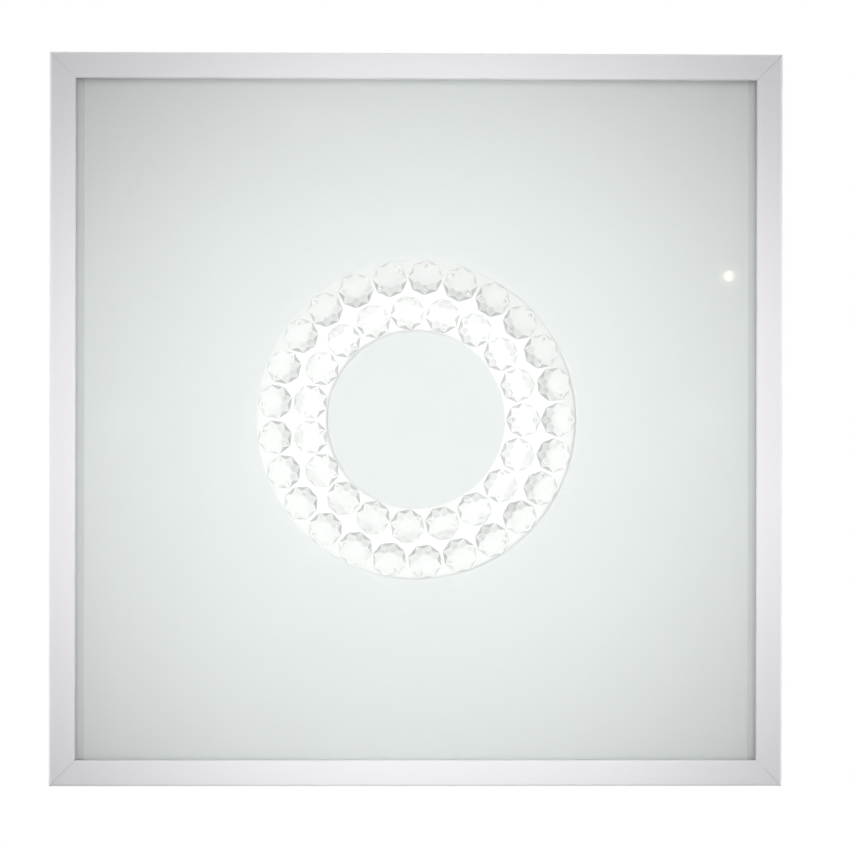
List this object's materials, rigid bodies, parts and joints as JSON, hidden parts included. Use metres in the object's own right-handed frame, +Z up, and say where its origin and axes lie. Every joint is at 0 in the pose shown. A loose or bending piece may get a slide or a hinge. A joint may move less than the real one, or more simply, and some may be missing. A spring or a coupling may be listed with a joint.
{
  "type": "square flush ceiling light",
  "caption": "Square flush ceiling light: mitred satin frame, satin glass with a clear ring of cut crystals, white base pan with lighting board behind; frame pulls off for access.",
  "frame": {"origin": "centre of the pan's back, on the ceiling plane, midway between the two ceiling slots", "axes": "+Z up into the ceiling; the light hangs to -Z; seen from below, +X is to the right and -Y is at the top; the cable entry and terminal block are on the -Y side"},
  "size_m": [0.29, 0.29, 0.065],
  "materials": {
    "satin_aluminium": "satin silver, very finely brushed along each rail",
    "zinc_key": "zinc-plated pressed steel",
    "zinc_screw": "bright zinc-plated",
    "satin_glass": "pale satin back, glossy front, clear ring",
    "gasket_rubber": "soft pale grey",
    "retainer_steel": "zinc-plated strip",
    "spring_steel": "polished spring strip",
    "crystal_glass": "clear, cut and polished facets",
    "white_steel": "fine matt white powder coat",
    "grommet_rubber": "matt black",
    "white_reflector": "matt white reflector coat",
    "white_board": "white solder mask",
    "led_package": "white package with a yellow window",
    "driver_plastic": "white moulded case",
    "terminal_plastic": "off-white moulding",
    "brass_tube": "plain brass",
    "tinned_lug": "tinned",
    "brown_insulation": "smooth insulation",
    "blue_insulation": "smooth insulation",
    "earth_insulation": "smooth insulation, green with yellow",
    "red_insulation": "smooth insulation",
    "black_insulation": "smooth insulation"
  },
  "bodies": {
    "base": {"base_pan": "white_steel", "cable_grommet": "grommet_rubber", "catch_right_front": "spring_steel", "catch_right_back": "spring_steel", "catch_left_front": "spring_steel", "catch_left_back": "spring_steel", "catch_rivets": "zinc_screw", "reflector_tray": "white_reflector", "tray_screws": "zinc_screw", "led_board": "white_board", "led_chips": "led_package", "board_screws": "zinc_screw", "led_driver": "driver_plastic", "driver_screws": "zinc_screw", "terminal_block": "terminal_plastic", "terminal_tubes": "brass_tube", "clamp_screws": "zinc_screw", "terminal_screws": "zinc_screw", "earth_lug": "tinned_lug", "earth_screw": "brass_tube", "live_lead": "brown_insulation", "neutral_lead": "blue_insulation", "earth_lead": "earth_insulation", "led_lead_positive": "red_insulation", "led_lead_negative": "black_insulation"},
    "front_frame": {"rail_front": "satin_aluminium", "rail_right": "satin_aluminium", "rail_back": "satin_aluminium", "rail_left": "satin_aluminium", "corner_key_front_right": "zinc_key", "corner_key_back_right": "zinc_key", "corner_key_back_left": "zinc_key", "corner_key_front_left": "zinc_key", "corner_screws": "zinc_screw", "glass_panel": "satin_glass", "glass_gasket": "gasket_rubber", "glass_retainer_right": "retainer_steel", "glass_retainer_left": "retainer_steel", "glass_clip_front": "spring_steel", "glass_clip_back": "spring_steel", "retainer_screws": "zinc_screw", "clip_screws": "zinc_screw", "outer_crystals": "crystal_glass", "inner_crystals": "crystal_glass"}
  },
  "joints": [
    {"name": "frame_release", "type": "slide", "parent": "base", "child": "front_frame", "axis": [0, 0, -1], "range_m": [0, 0.08]}
  ]
}
